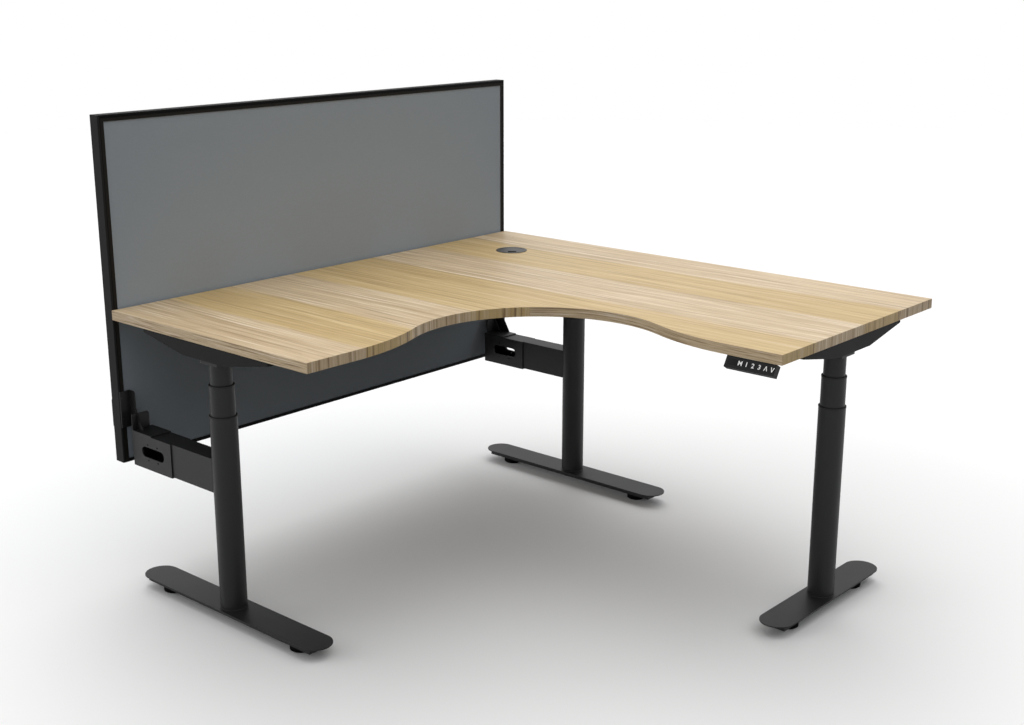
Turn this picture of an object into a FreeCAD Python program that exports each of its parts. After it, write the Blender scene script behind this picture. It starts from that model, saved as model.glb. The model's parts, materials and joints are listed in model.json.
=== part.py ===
import FreeCAD, Part
import math
import os
import re
import Sketcher

# A corner desk that rises and falls on three telescopic columns, with a fabric screen that stands
# still behind its left wing. Lengths are in millimetres and angles in degrees.
# The desk is laid out from its rear corner: X runs along the right wing, -Y along the left wing
# and Z up from the floor. Every piece is then shifted so that the origin is under the middle
# of the whole desk.

SIZES = {
    # worktop, one board with a curved user bay between two wings, sized by their free length
    "worktop_height": 750, "worktop_thick": 25, "right_wing_length": 1500,
    "left_wing_length": 1500, "wing_depth": 750, "bay_radius_share": 0.424,
    "bay_setback_share": 0.327, "blend_share": 0.793, "edge_band_thick": 2,
    # cable port in the rear corner of the worktop
    "port_inset": 236, "port_bore": 80, "port_flange": 94, "flange_thick": 2.2,
    "flange_bed": 0.7, "bed_play": 0.4, "liner_wall": 1.8, "liner_depth": 19,
    "liner_play": 0.2, "ledge_width": 2.5, "cap_thick": 3, "cap_recess": 0.4,
    "cap_play": 0.4, "cap_slot_width": 26, "cap_slot_reach": 20,
    # where the columns stand
    "leg_line": 372, "left_leg_inset": 50, "corner_leg_inset": 95, "right_leg_inset": 55,
    "right_leg_setback": 348,
    # column tubes, thickest at the foot, with a plastic glide at the top of each lower stage;
    # each upper tube is shorter than the outer one
    "outer_tube_dia": 68, "middle_tube_dia": 62, "inner_tube_dia": 55, "tube_wall": 1.8,
    "rise_shown": 136, "middle_tube_less": 20, "inner_tube_less": 29,
    "middle_rise_share": 0.59, "glide_cap": 4, "glide_rim": 0.6, "glide_sleeve": 30,
    "glide_play": 0.3, "glide_seat_play": 0.1,
    # telescopic lifting screw inside each column, its parts shorter than the outer tube too
    "post_dia": 28, "post_bore": 22, "post_less": 37, "nut_dia": 34, "nut_height": 25,
    "hollow_screw_dia": 20, "hollow_screw_less": 46, "hollow_screw_drop": 20,
    "hollow_nut_dia": 27, "hollow_nut_height": 20, "lift_screw_dia": 12,
    "lift_screw_less": 34, "screw_play": 0.3,
    # feet
    "foot_height": 35, "foot_plate_thick": 3, "foot_width": 88, "side_foot_length": 702,
    "right_foot_length": 512, "channel_width": 62, "channel_depth": 14, "channel_wall": 3,
    "channel_inset": 28, "boss_dia": 22, "pad_inset": 96, "pad_dia": 54, "pad_sole_dia": 46,
    "pad_thick": 15, "pad_edge": 3, "stem_dia": 10, "stem_play": 0.3,
    # pressed steel supports under the worktop
    "support_length": 488, "corner_support_length": 300, "support_width": 98,
    "support_depth": 39.5, "support_tip_depth": 7.5, "support_flat": 164, "support_sheet": 2.5,
    "support_corner": 7,
    # drive unit in each support
    "drive_length": 72, "drive_width": 70, "drive_depth": 53, "drive_corner": 6, "motor_dia": 30,
    "motor_reach": 108,
    # rails that tie the supports together
    "rail_width": 60, "rail_height": 25, "rail_wall": 2,
    # control box
    "control_length": 180, "control_width": 90, "control_height": 28, "control_corner": 5,
    "control_rail_gap": 120, "ear_reach": 14, "ear_width": 22, "ear_thick": 3, "ear_hole": 5,
    "socket_width": 14, "socket_height": 9, "socket_depth": 8, "socket_pitch": 26,
    # handset under the front edge of the right wing
    "handset_length": 133, "handset_end_gap": 13, "handset_inset": 1.5, "handset_drop": 25,
    "handset_run": 15, "handset_thick": 17.6, "mount_inset": 12, "mount_depth": 26,
    "mount_thick": 3, "mount_hole": 4, "mount_hole_inset": 12,
    "key_width": 11, "key_height": 13, "key_rise": 0.6, "key_depth": 2.6,
    "key_well": 3.6, "key_play": 0.35, "key_pitch": 17, "key_end": 7.6, "window_length": 27,
    "window_height": 15, "window_depth": 0.5, "window_end": 7,
    # box arms that carry the screen
    "arm_width": 56, "arm_height": 88, "arm_wall": 2.5, "arm_top": 428.5, "saddle_play": 0.3,
    "slot_centre": 108, "slot_length": 95, "slot_height": 28, "slot_margin": 1,
    # folded brackets on the arms
    "bracket_sheet": 3, "bracket_start": 22, "bracket_end": 186, "bracket_lid": 104,
    "end_plate_top": 474, "end_plate_reach": 21, "end_plate_corner": 8, "web_top": 532,
    "web_setback": 15, "web_reach": 20, "web_shoulder": 485, "web_foot": 52, "web_corner": 8,
    "tab_bottom": 435,
    "tab_end_gap": 1.5, "fixing_hole": 5, "fixing_pitch": 40, "fixing_rise": 42,
    # screen behind the left wing
    "screen_gap": 4, "screen_inset": 4, "screen_thick": 35, "screen_height": 900,
    "screen_bottom": 339, "frame_width": 16.5, "lip_width": 9.5, "lip_thick": 2,
    "groove_width": 1.6, "groove_depth": 1.5, "frame_corner": 2.5, "sill_height": 9,
    "sill_floor": 3, "fabric_thick": 1, "board_play": 0.3,
    # plates that clamp the screen to the brackets from behind
    "clamp_thick": 3, "clamp_width": 20, "clamp_height": 76, "clamp_bottom": 430,
    "clamp_corner": 4,
    # how far a cutting shape runs past the faces that it cuts
    "overrun": 5,
}

# Sizes that follow from the ones above, as expressions.
FOLLOWS = {
    "underside": "worktop_height - worktop_thick",
    "screen_end": "left_wing_length - screen_inset",
    "free_length": "min(left_wing_length; right_wing_length) - wing_depth",
    "bay_radius": "free_length * bay_radius_share",
    "bay_inset": "wing_depth + free_length * bay_setback_share",
    "blend_end": "wing_depth + free_length * blend_share",
    "band_blend_radius": "((bay_inset - wing_depth) ^ 2 + (blend_end - bay_inset) ^ 2"
                         " - bay_radius ^ 2) / (2 * (bay_radius - bay_inset + wing_depth))",
    "drive_bottom": "underside - drive_depth",
    "outer_tube_length": "drive_bottom - foot_height - rise_shown",
    "middle_tube_length": "outer_tube_length - middle_tube_less",
    "inner_tube_length": "outer_tube_length - inner_tube_less",
    "post_length": "outer_tube_length - post_less",
    "hollow_screw_length": "outer_tube_length - hollow_screw_less",
    "lift_screw_length": "outer_tube_length - lift_screw_less",
    "outer_top": "foot_height + outer_tube_length + glide_cap",
    "middle_top": "outer_top + (drive_bottom - outer_top) * middle_rise_share",
    "middle_bottom": "middle_top - glide_cap - middle_tube_length",
    "hollow_top": "middle_top - hollow_screw_drop",
    "left_leg_y": "left_leg_inset - left_wing_length",
    "corner_leg_y": "0 - corner_leg_inset",
    "right_leg_x": "right_wing_length - right_leg_inset",
    "right_leg_y": "right_leg_setback - wing_depth",
    "channel_bottom": "foot_height - foot_plate_thick - channel_depth",
    "outer_bore": "outer_tube_dia - 2 * tube_wall",
    "middle_bore": "middle_tube_dia - 2 * tube_wall",
    "arm_bottom": "arm_top - arm_height",
    "arm_middle": "arm_top - arm_height / 2",
    "screen_top": "screen_bottom + screen_height",
    "screen_front": "0 - screen_gap",
    "screen_rear": "0 - screen_gap - screen_thick",
    "middle_x": "(right_wing_length - screen_gap - screen_thick - clamp_thick) / 2",
    "middle_y": "0 - left_wing_length / 2",
}

doc = FreeCAD.newDocument("corner_desk")
sheet = doc.addObject("Spreadsheet::Sheet", "Sizes")
for row, (name, number) in enumerate(SIZES.items(), start=1):
    cell = "A%d" % row
    sheet.set(cell, str(number))
    sheet.setAlias(cell, name)
doc.recompute()

WORD = re.compile(r"[a-z][a-z0-9_]*")
NODES = []


def spell(text):
    """Write a size expression out in cell names."""
    def one(match):
        word = match.group(0)
        if word in SIZES:
            return "Sizes." + word
        if word in FOLLOWS:
            return "(" + spell(FOLLOWS[word]) + ")"
        return word
    return WORD.sub(one, text)


def value(text):
    """The number that a size expression has now."""
    return float(sheet.evalExpression(spell(text)))


def bind(thing, path, text):
    thing.setExpression(path, spell(text))


def new_body(name, several=False):
    """An empty body for one node; several=True lets it hold separate solids."""
    body = doc.addObject("PartDesign::Body", name)
    body.Label = name
    body.AllowCompound = several
    NODES.append(body)
    return body


def place(body, x="0", y="0", z="0", turn=0):
    """Put a body at a place laid out from the rear corner of the desk."""
    body.Placement = FreeCAD.Placement(FreeCAD.Vector(), FreeCAD.Rotation(turn, 0, 0))
    bind(body, "Placement.Base.x", "%s - middle_x" % x)
    bind(body, "Placement.Base.y", "%s - middle_y" % y)
    bind(body, "Placement.Base.z", z)


def new_sketch(body, plane, level):
    """A sketch in one of the body's origin planes, moved to a level along the third axis."""
    sketch = body.newObject("Sketcher::SketchObject", body.Label + "_outline")
    for feature in body.Origin.OriginFeatures:
        if feature.Role == plane + "_Plane":
            sketch.AttachmentSupport = (feature, [""])
    sketch.MapMode = "FlatFace"
    sign = "0 - " if plane == "XZ" else ""
    bind(sketch, "AttachmentOffset.Base.z", "%s(%s)" % (sign, level))
    return sketch


def draw_circle(sketch, x, y, radius):
    centre = FreeCAD.Vector(value(x), value(y), 0)
    upward = FreeCAD.Vector(0, 0, 1)
    index = sketch.addGeometry(Part.Circle(centre, upward, value(radius)))
    for kind, text, number in (("DistanceX", x, centre.x), ("DistanceY", y, centre.y)):
        rule = sketch.addConstraint(Sketcher.Constraint(kind, -1, 1, index, 3, number))
        bind(sketch, "Constraints[%d]" % rule, text)
    rule = sketch.addConstraint(Sketcher.Constraint("Radius", index, value(radius)))
    bind(sketch, "Constraints[%d]" % rule, radius)


def arc_between(start, end, radius, turn):
    """An arc from start to end that bends to the left or to the right."""
    chord = end - start
    half = chord.Length / 2
    side = FreeCAD.Vector(-chord.y, chord.x, 0).normalize()
    away = math.sqrt(max(radius ** 2 - half ** 2, 0.0))
    centre = start + chord / 2 + side * (away if turn == "left" else -away)
    first, last = (start, end) if turn == "left" else (end, start)
    from_angle = math.atan2(first.y - centre.y, first.x - centre.x)
    to_angle = math.atan2(last.y - centre.y, last.x - centre.x)
    if to_angle < from_angle:
        to_angle += 2 * math.pi
    circle = Part.Circle(centre, FreeCAD.Vector(0, 0, 1), radius)
    return Part.ArcOfCircle(circle, from_angle, to_angle)


def draw_loop(sketch, corners):
    """A closed outline. A corner is (x, y), or (x, y, turn, radius) where an arc leaves it."""
    points = [FreeCAD.Vector(value(corner[0]), value(corner[1]), 0) for corner in corners]
    drawn = []
    for place_now, corner in enumerate(corners):
        start = points[place_now]
        end = points[(place_now + 1) % len(points)]
        if len(corner) == 2:
            index = sketch.addGeometry(Part.LineSegment(start, end))
            drawn.append((index, 1, 2))
        else:
            turn, radius = corner[2], corner[3]
            index = sketch.addGeometry(arc_between(start, end, value(radius), turn))
            drawn.append((index, 1, 2) if turn == "left" else (index, 2, 1))
            rule = sketch.addConstraint(Sketcher.Constraint("Radius", index, value(radius)))
            bind(sketch, "Constraints[%d]" % rule, radius)
    for place_now, (index, first, last) in enumerate(drawn):
        next_index, next_first, _ = drawn[(place_now + 1) % len(drawn)]
        sketch.addConstraint(Sketcher.Constraint("Coincident", index, last, next_index, next_first))
        for kind, text, number in (("DistanceX", corners[place_now][0], points[place_now].x),
                                   ("DistanceY", corners[place_now][1], points[place_now].y)):
            rule = sketch.addConstraint(Sketcher.Constraint(kind, -1, 1, index, first, number))
            bind(sketch, "Constraints[%d]" % rule, text)


def draw(sketch, shapes):
    for shape in shapes:
        if isinstance(shape, tuple):
            draw_circle(sketch, *shape)
        else:
            draw_loop(sketch, shape)


def add(body, plane, low, thick, shapes):
    """A slab of the drawn shapes that starts at a level and is so thick."""
    level = "%s + %s" % (low, thick) if plane == "XZ" else low
    sketch = new_sketch(body, plane, level)
    draw(sketch, shapes)
    pad = body.newObject("PartDesign::Pad", body.Label + "_slab")
    pad.Profile = sketch
    bind(pad, "Length", thick)
    return pad


def cut(body, plane, low, thick, shapes):
    """Take a slab of the drawn shapes away."""
    level = low if plane == "XZ" else "%s + %s" % (low, thick)
    sketch = new_sketch(body, plane, level)
    draw(sketch, shapes)
    pocket = body.newObject("PartDesign::Pocket", body.Label + "_cut")
    pocket.Profile = sketch
    bind(pocket, "Length", thick)
    return pocket


def turned(body, corners):
    """A turned form from its half section, each corner given as radius and height."""
    sketch = new_sketch(body, "XZ", "0")
    draw_loop(sketch, corners)
    form = body.newObject("PartDesign::Revolution", body.Label + "_turned")
    form.Profile = sketch
    form.ReferenceAxis = (sketch, ["V_Axis"])
    form.Angle = 360
    return form


def rectangle(x0, x1, y0, y1):
    return [(x0, y0), (x1, y0), (x1, y1), (x0, y1)]


def round_rectangle(x0, x1, y0, y1, radius):
    """A rectangle whose four corners are quarter arcs."""
    return [("%s + %s" % (x0, radius), y0), ("%s - %s" % (x1, radius), y0, "left", radius),
            (x1, "%s + %s" % (y0, radius)), (x1, "%s - %s" % (y1, radius), "left", radius),
            ("%s - %s" % (x1, radius), y1), ("%s + %s" % (x0, radius), y1, "left", radius),
            (x0, "%s - %s" % (y1, radius)), (x0, "%s + %s" % (y0, radius), "left", radius)]


def stadium(x0, x1, y, width):
    """A strip along X with half-round ends, each end drawn as two quarter arcs."""
    half = "(%s) / 2" % width
    low, high = "%s - %s" % (y, half), "%s + %s" % (y, half)
    return [("%s + %s" % (x0, half), low), ("%s - %s" % (x1, half), low, "left", half),
            (x1, y, "left", half), ("%s - %s" % (x1, half), high),
            ("%s + %s" % (x0, half), high, "left", half), (x0, y, "left", half)]


# Worktop, its edge band and the cable port


def worktop_outline(inset):
    """The plan of the worktop, drawn in from its edge by an even inset."""
    right, left = "right_wing_length - %s" % inset, "%s - left_wing_length" % inset
    depth = "wing_depth - %s" % inset
    bay = "bay_radius + %s" % inset
    blend = "band_blend_radius - %s" % inset
    share = "(bay_radius + %s) / (bay_radius + band_blend_radius)" % inset
    near = "bay_inset + (wing_depth - band_blend_radius - bay_inset) * %s" % share
    far = "bay_inset + (blend_end - bay_inset) * %s" % share
    middle = "bay_inset - (%s) * sqrt(2) / 2" % bay
    return [(inset, "0 - %s" % inset), (inset, left), (depth, left),
            (depth, "0 - blend_end", "left", blend),
            (near, "0 - (%s)" % far, "right", bay),
            (middle, "0 - (%s)" % middle, "right", bay),
            (far, "0 - (%s)" % near, "left", blend),
            ("blend_end", "0 - (%s)" % depth), (right, "0 - (%s)" % depth),
            (right, "0 - %s" % inset)]


def make_worktop():
    board = new_body("worktop")
    add(board, "XY", "underside", "worktop_thick", [worktop_outline("edge_band_thick")])
    cut(board, "XY", "underside - overrun", "worktop_thick + 2 * overrun",
        [("port_inset", "0 - port_inset", "port_bore / 2")])
    cut(board, "XY", "worktop_height - flange_bed", "flange_bed + overrun",
        [("port_inset", "0 - port_inset", "port_flange / 2 + bed_play")])
    place(board)
    band = new_body("edge_band")
    add(band, "XY", "underside", "worktop_thick",
        [worktop_outline("0"), worktop_outline("edge_band_thick")])
    place(band)


def make_cable_port():
    """A flanged liner in the worktop, and a slotted cap that turns on the liner's ledge."""
    bore = "(port_bore / 2 - liner_play - liner_wall)"
    sleeve = "(port_bore / 2 - liner_play)"
    liner = new_body("port_liner")
    bed = "worktop_height - flange_bed"
    seat = "%s + flange_thick - cap_recess - cap_thick" % bed
    turned(liner, [(bore + " - ledge_width", "worktop_height - liner_depth"),
                   (sleeve, "worktop_height - liner_depth"), (sleeve, bed),
                   ("port_flange / 2", bed), ("port_flange / 2", "%s + flange_thick" % bed),
                   (bore, "%s + flange_thick" % bed), (bore, seat),
                   (bore + " - ledge_width", seat)])
    place(liner, "port_inset", "(0 - port_inset)")
    cap = new_body("port_cap")
    rim = "(%s - cap_play)" % bore
    add(cap, "XY", "0", "cap_thick", [("0", "0", rim)])
    slot = [("%s - cap_slot_reach" % rim, "cap_slot_width / (0 - 2)"),
            ("%s + overrun" % rim, "cap_slot_width / (0 - 2)"),
            ("%s + overrun" % rim, "cap_slot_width / 2"),
            ("%s - cap_slot_reach" % rim, "cap_slot_width / 2")]
    cut(cap, "XY", "0 - overrun", "cap_thick + 2 * overrun", [slot])
    place(cap, "port_inset", "(0 - port_inset)", seat, turn=-45)


# Legs: a foot on two levelling pads, and three telescopic stages

LEGS = {
    "left": ("leg_line", "left_leg_y", 0, "side_foot_length", "support_length"),
    "corner": ("leg_line", "corner_leg_y", 0, "side_foot_length", "corner_support_length"),
    "right": ("right_leg_x", "right_leg_y", 90, "right_foot_length", "support_length"),
}


def at_each_leg():
    """The centres of the three columns, for pieces that share one node."""
    return [(leg[0], leg[1]) for leg in LEGS.values()]


def ring(x, y, bore_dia, outer_dia):
    return [(x, y, "(%s) / 2" % outer_dia), (x, y, "(%s) / 2" % bore_dia)]


def make_foot(side, x, y, turn, length):
    """A pill-shaped plate with a channel and two screw bosses welded under it."""
    foot = new_body(side + "_foot")
    plate_low = "foot_height - foot_plate_thick"
    add(foot, "XY", plate_low, "foot_plate_thick",
        [stadium("0 - %s / 2" % length, "%s / 2" % length, "0", "foot_width")])
    reach = "%s / 2 - channel_inset" % length
    inner = "%s - channel_wall" % reach
    half, inner_half = "channel_width / 2", "channel_width / 2 - channel_wall"
    add(foot, "XY", "channel_bottom", "channel_depth",
        [rectangle("0 - (%s)" % reach, reach, "0 - %s" % half, half),
         rectangle("0 - (%s)" % inner, inner, "0 - (%s)" % inner_half, inner_half)])
    seat = "(%s / 2 - pad_inset)" % length
    for spot in (seat, "0 - " + seat):
        add(foot, "XY", "channel_bottom", "channel_depth",
            ring(spot, "0", "stem_dia + 2 * stem_play", "boss_dia"))
    place(foot, x, y, turn=turn)


def make_pad(name, x, y):
    """A levelling pad: a bevelled sole and a screw stem that runs up its boss to the foot plate."""
    pad = new_body(name)
    stem_top = "foot_height - foot_plate_thick"
    turned(pad, [("0", "0"), ("pad_sole_dia / 2", "0"), ("pad_dia / 2", "pad_edge"),
                 ("pad_dia / 2", "pad_thick"), ("stem_dia / 2", "pad_thick"),
                 ("stem_dia / 2", stem_top), ("0", stem_top)])
    place(pad, x, y)


def make_pads(side, x, y, turn, length):
    """The pad nearer the wall is called rear on every foot."""
    seat = "(%s / 2 - pad_inset)" % length
    for end, sign in (("rear", "-" if turn == 0 else "+"), ("front", "+" if turn == 0 else "-")):
        along = "(%s) %s %s"
        spot = (along % (x, sign, seat), y) if turn == 0 else (x, along % (y, sign, seat))
        make_pad("%s_%s_pad" % (side, end), *spot)


def make_tube(name, x, y, bottom, length, dia):
    tube = new_body(name)
    add(tube, "XY", bottom, length, ring("0", "0", "%s - 2 * tube_wall" % dia, dia))
    place(tube, x, y)


def add_glide(body, top, inner_dia, tube_dia, tube_bore, centres):
    """A plastic ring on the top of a tube, with a sleeve down inside it."""
    opening = "%s + 2 * glide_play" % inner_dia
    for x, y in centres:
        add(body, "XY", "%s - glide_cap" % top, "glide_cap",
            ring(x, y, opening, "%s + 2 * glide_rim" % tube_dia))
        add(body, "XY", "%s - glide_cap - glide_sleeve" % top, "glide_sleeve",
            ring(x, y, opening, "%s - 2 * glide_seat_play" % tube_bore))


def make_columns():
    for side, (x, y, _, _, _) in LEGS.items():
        make_tube(side + "_outer_tube", x, y, "foot_height", "outer_tube_length",
                  "outer_tube_dia")
        make_tube(side + "_middle_tube", x, y, "middle_bottom", "middle_tube_length",
                  "middle_tube_dia")
        make_tube(side + "_inner_tube", x, y, "drive_bottom - inner_tube_length",
                  "inner_tube_length", "inner_tube_dia")
        glide = new_body(side + "_middle_glide")
        add_glide(glide, "middle_top", "inner_tube_dia", "middle_tube_dia", "middle_bore",
                  [("0", "0")])
        place(glide, x, y)
    glides = new_body("outer_glides", several=True)
    add_glide(glides, "outer_top", "middle_tube_dia", "outer_tube_dia", "outer_bore",
              at_each_leg())
    place(glides)


def make_screws():
    """A post with a nut on the foot, a hollow screw in it, and a lifting screw in that."""
    nut_low = "foot_height + post_length"
    posts = new_body("nut_posts", several=True)
    for x, y in at_each_leg():
        add(posts, "XY", "foot_height", "post_length", ring(x, y, "post_bore", "post_dia"))
        add(posts, "XY", nut_low, "nut_height",
            ring(x, y, "hollow_screw_dia + 2 * screw_play", "nut_dia"))
    place(posts)
    for side, (x, y, _, _, _) in LEGS.items():
        hollow = new_body(side + "_hollow_screw")
        bore = "lift_screw_dia + 2 * screw_play"
        stem = "hollow_screw_length - hollow_nut_height"
        add(hollow, "XY", "hollow_top - hollow_screw_length", stem,
            ring("0", "0", bore, "hollow_screw_dia"))
        add(hollow, "XY", "hollow_top - hollow_nut_height", "hollow_nut_height",
            ring("0", "0", bore, "hollow_nut_dia"))
        place(hollow, x, y)
    screws = new_body("lift_screws", several=True)
    for x, y in at_each_leg():
        add(screws, "XY", "drive_bottom - lift_screw_length", "lift_screw_length",
            [(x, y, "lift_screw_dia / 2")])
    place(screws)


# What ties the columns to the worktop


def make_support(side, x, y, turn, length):
    """A pressed steel pan, open below, that gets shallower towards both tips."""
    pan = new_body(side + "_support")
    half, wide = "%s / 2" % length, "support_width / 2"
    inner_half, inner_wide = half + " - support_sheet", wide + " - support_sheet"
    add(pan, "XY", "underside - support_depth", "support_depth",
        [round_rectangle("0 - " + half, half, "0 - " + wide, wide, "support_corner")])
    cut(pan, "XY", "underside - support_depth - overrun",
        "support_depth + overrun - support_sheet",
        [round_rectangle("0 - (%s)" % inner_half, inner_half, "0 - (%s)" % inner_wide,
                         inner_wide, "(support_corner - support_sheet)")])
    low, tip = "underside - support_depth", "underside - support_tip_depth"
    flat = "support_flat / 2"
    for sign in ("", "0 - "):
        wedge = [(sign + "(%s)" % flat, low), (sign + "(%s + overrun)" % half, tip),
                 (sign + "(%s + overrun)" % half, low + " - overrun"),
                 (sign + "(%s)" % flat, low + " - overrun")]
        cut(pan, "XZ", "0 - %s - overrun" % wide, "support_width + 2 * overrun", [wedge])
    place(pan, x, y, turn=turn)


def make_drive(side, x, y, turn):
    """The gearbox over a column, with its motor lying in the pan."""
    drive = new_body(side + "_drive")
    half, wide = "drive_length / 2", "drive_width / 2"
    add(drive, "XY", "drive_bottom", "drive_depth - support_sheet",
        [round_rectangle("0 - " + half, half, "0 - " + wide, wide, "drive_corner")])
    axis = "underside - support_sheet - motor_dia / 2"
    add(drive, "YZ", half, "motor_reach - drive_length / 2", [("0", axis, "motor_dia / 2")])
    place(drive, x, y, turn=turn)


def make_rails():
    """A main rail between the side and corner supports, and a cross rail to the right one."""
    low, high = "underside - rail_height", "underside"
    wide = "rail_width / 2"
    main = new_body("main_rail")
    run = "0 - corner_leg_inset - left_leg_y - support_width"
    add(main, "XZ", "left_leg_y + support_width / 2", run,
        [rectangle("leg_line - " + wide, "leg_line + " + wide, low, high),
         rectangle("leg_line - %s + rail_wall" % wide, "leg_line + %s - rail_wall" % wide,
                   low + " + rail_wall", high + " - rail_wall")])
    place(main)
    cross = new_body("cross_rail")
    start = "leg_line + " + wide
    add(cross, "YZ", start, "right_leg_x - support_width / 2 - (%s)" % start,
        [rectangle("right_leg_y - " + wide, "right_leg_y + " + wide, low, high),
         rectangle("right_leg_y - %s + rail_wall" % wide, "right_leg_y + %s - rail_wall" % wide,
                   low + " + rail_wall", high + " - rail_wall")])
    place(cross)


def make_control_box():
    """The control unit, with two fixing ears and sockets for the leads in its front face."""
    box = new_body("control_box")
    x0, y1 = "(leg_line + control_rail_gap)", "(right_leg_y + control_rail_gap + rail_width / 2)"
    x1, y0 = x0 + " + control_length", y1 + " - control_width"
    add(box, "XY", "underside - control_height", "control_height",
        [round_rectangle(x0, x1, y0, y1, "control_corner")])
    middle = "(%s - control_width / 2)" % y1
    ear = rectangle(x0 + " - ear_reach", x1 + " + ear_reach", middle + " - ear_width / 2",
                    middle + " + ear_width / 2")
    holes = [("%s - ear_reach / 2" % x0, middle, "ear_hole / 2"),
             ("%s + ear_reach / 2" % x1, middle, "ear_hole / 2")]
    add(box, "XY", "underside - ear_thick", "ear_thick", [ear] + holes)
    centre = "%s + control_length / 2" % x0
    sill = "underside - control_height / 2 - socket_height / 2"
    for step in (-2, -1, 0, 1, 2):
        spot = "%s + socket_pitch * (%d)" % (centre, step)
        cut(box, "XZ", y0 + " - overrun", "socket_depth + overrun",
            [rectangle(spot + " - socket_width / 2", spot + " + socket_width / 2",
                       sill, sill + " + socket_height")])
    place(box)


# Handset: a bar that leans back under the front edge, with keys in its face

KEYS = ["key_down", "key_up", "key_three", "key_two", "key_one", "key_memory"]
LEAN = "atan2(handset_drop; handset_run)"
FACE_LENGTH = "sqrt(handset_drop ^ 2 + handset_run ^ 2)"
FACE_TOP = "handset_inset - wing_depth"
FACE_Y = "handset_inset - wing_depth - handset_run / 2"
FACE_Z = "underside - handset_drop / 2"


def key_x(place_now):
    """Keys are counted from the right end of the handset."""
    return "(right_wing_length - handset_end_gap - key_end - key_pitch * %d)" % place_now


def lean_sketch(body):
    """A sketch in the leaning face of the handset."""
    sketch = new_sketch(body, "XY", "0")
    sketch.AttachmentOffset = FreeCAD.Placement(
        FreeCAD.Vector(), FreeCAD.Rotation(FreeCAD.Vector(1, 0, 0), value(LEAN)))
    bind(sketch, "AttachmentOffset.Base.y", FACE_Y)
    bind(sketch, "AttachmentOffset.Base.z", FACE_Z)
    bind(sketch, "AttachmentOffset.Rotation.Angle", LEAN)
    return sketch


def make_handset():
    case = new_body("handset_case")
    right = "right_wing_length - handset_end_gap"
    left = right + " - handset_length"
    back, down = ("handset_thick * handset_drop / (%s)" % FACE_LENGTH,
                  "handset_thick * handset_run / (%s)" % FACE_LENGTH)
    rear = "%s + %s" % (FACE_TOP, back)
    add(case, "YZ", left, "handset_length",
        [[(FACE_TOP, "underside"), (FACE_TOP + " - handset_run", "underside - handset_drop"),
          (rear + " - handset_run", "underside - handset_drop - " + down),
          (rear, "underside - " + down)]])
    foot = rear + " + mount_depth"
    add(case, "YZ", left + " + mount_inset", "handset_length - 2 * mount_inset",
        [[(FACE_TOP, "underside"), (rear, "underside - " + down),
          (rear + " + mount_thick", "underside - mount_thick"), (foot, "underside - mount_thick"),
          (foot, "underside")]])
    holes = [(spot, foot + " - mount_depth / 2 + mount_thick / 2", "mount_hole / 2")
             for spot in (left + " + mount_inset + mount_hole_inset",
                          right + " - mount_inset - mount_hole_inset")]
    cut(case, "XY", "underside - mount_thick - overrun", "mount_thick + 2 * overrun", holes)
    wells = lean_sketch(case)
    for place_now in range(len(KEYS)):
        x, wide = key_x(place_now), "(key_width / 2 + key_play)"
        tall = "(key_height / 2 + key_play)"
        draw_loop(wells, rectangle("%s - %s" % (x, wide), "%s + %s" % (x, wide), "0 - " + tall,
                                   tall))
    pocket = case.newObject("PartDesign::Pocket", "key_wells")
    pocket.Profile = wells
    bind(pocket, "Length", "key_well")
    window = lean_sketch(case)
    draw_loop(window, rectangle(left + " + window_end", left + " + window_end + window_length",
                                "0 - window_height / 2", "window_height / 2"))
    shallow = case.newObject("PartDesign::Pocket", "display_recess")
    shallow.Profile = window
    bind(shallow, "Length", "window_depth")
    place(case)
    for place_now, name in enumerate(KEYS):
        make_key(name, key_x(place_now))


def make_key(name, x):
    """A sprung key that stands a little proud of the face."""
    key = new_body(name)
    wide, tall = "key_width / 2", "key_height / 2"
    add(key, "XY", "0 - key_depth", "key_depth + key_rise",
        [rectangle("0 - " + wide, wide, "0 - " + tall, tall)])
    key.Placement = FreeCAD.Placement(
        FreeCAD.Vector(), FreeCAD.Rotation(FreeCAD.Vector(1, 0, 0), value(LEAN)))
    bind(key, "Placement.Base.x", "%s - middle_x" % x)
    bind(key, "Placement.Base.y", "%s - middle_y" % FACE_Y)
    bind(key, "Placement.Base.z", FACE_Z)
    bind(key, "Placement.Rotation.Angle", LEAN)


# Arms and brackets that hold the screen to the left and corner columns


def slot_outline(margin):
    """The cable slot through an arm or its bracket."""
    half = "(slot_length / 2 + %s)" % margin
    return stadium("slot_centre - " + half, "slot_centre + " + half, "arm_middle",
                   "slot_height + 2 * %s" % margin)


def fixing_holes():
    """The four holes round the slot, through the arm and its bracket."""
    return [("slot_centre %s fixing_pitch / 2" % along, "arm_middle %s fixing_rise / 2" % up,
             "fixing_hole / 2") for along in "+-" for up in "+-"]


def make_arm(name, y):
    """A box tube from the bracket to the column, with its end cut to fit round the column."""
    arm = new_body(name)
    start = "bracket_start + bracket_sheet"
    half, inner = "arm_width / 2", "arm_width / 2 - arm_wall"
    add(arm, "YZ", start, "leg_line - (%s)" % start,
        [rectangle("0 - " + half, half, "arm_bottom", "arm_top"),
         rectangle("0 - (%s)" % inner, inner, "arm_bottom + arm_wall", "arm_top - arm_wall")])
    cut(arm, "XZ", "0 - %s - overrun" % half, "arm_width + 2 * overrun",
        [slot_outline("slot_margin")] + fixing_holes())
    cut(arm, "XY", "arm_bottom - overrun", "arm_height + 2 * overrun",
        [("leg_line", "0", "outer_tube_dia / 2 + saddle_play")])
    place(arm, y=y)


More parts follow.
